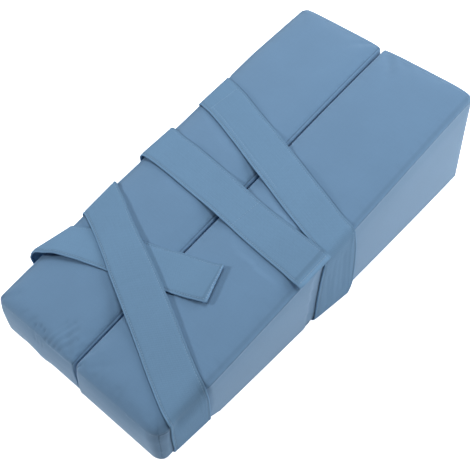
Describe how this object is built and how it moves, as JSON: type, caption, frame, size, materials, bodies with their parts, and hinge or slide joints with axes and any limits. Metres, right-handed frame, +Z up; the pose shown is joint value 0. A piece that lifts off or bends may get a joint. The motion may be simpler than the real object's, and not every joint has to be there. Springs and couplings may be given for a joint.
{
  "type": "knee pillow",
  "caption": "Knee pillow of padded wedge blocks side by side, low at one end and high at the other, tied together by wrapped cloth straps.",
  "frame": {"origin": "middle of the bounding box at the surface that the pillow lies on, close to the seam between the two wedges", "axes": "+X along the pillow from the thin end to the thick end, +Y across it towards the wedge called left, +Z up from the surface"},
  "size_m": [0.558, 0.2976, 0.147],
  "materials": {
    "cover_cloth": "matt short-napped woven upholstery cloth, light steel blue",
    "strap_cloth": "matt plain-woven cloth with slubs, folded and topstitched along its hems, light steel blue"
  },
  "bodies": {
    "root": {"block_left": "cover_cloth", "block_right": "cover_cloth", "strap_upper": "strap_cloth", "strap_lower": "strap_cloth"}
  },
  "joints": []
}
